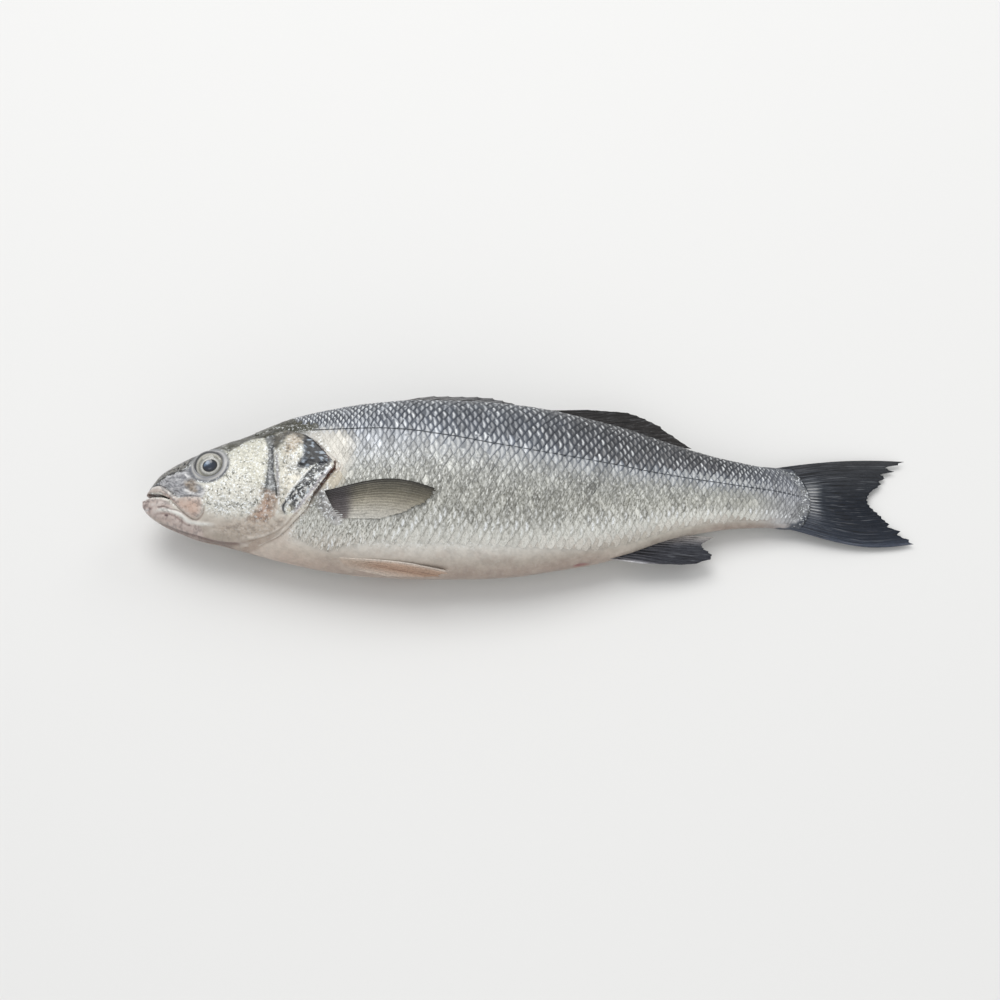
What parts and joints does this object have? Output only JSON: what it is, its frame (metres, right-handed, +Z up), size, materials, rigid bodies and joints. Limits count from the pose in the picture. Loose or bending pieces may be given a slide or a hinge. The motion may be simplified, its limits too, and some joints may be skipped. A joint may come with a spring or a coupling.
{
  "type": "raw sea bass",
  "caption": "Whole raw sea bass lying on its side, silver scales, slate-grey back, folded fins and forked tail.",
  "frame": {"origin": "on the surface the fish lies on, under the centre of its footprint", "axes": "+X towards the tail, +Y towards the back, +Z up out of the left flank"},
  "size_m": [0.4156, 0.1066, 0.0541],
  "materials": {
    "skin": "wet silvery scaled skin, slate grey along the back and creamy white on the belly",
    "eye": "clear wet cornea over a silvery gold iris and a blue-black pupil",
    "fin": "damp slate-blue fin membrane with paler rays",
    "paired_fin": "damp thin olive-grey to cream fin membrane with darker rays"
  },
  "bodies": {
    "root": {"body": "skin", "eye_left": "eye", "eye_right": "eye", "first_dorsal_fin": "fin", "second_dorsal_fin": "fin", "caudal_fin": "fin", "anal_fin": "fin", "pectoral_fin_left": "paired_fin", "pectoral_fin_right": "paired_fin", "pelvic_fin_left": "paired_fin", "pelvic_fin_right": "paired_fin"}
  },
  "joints": []
}
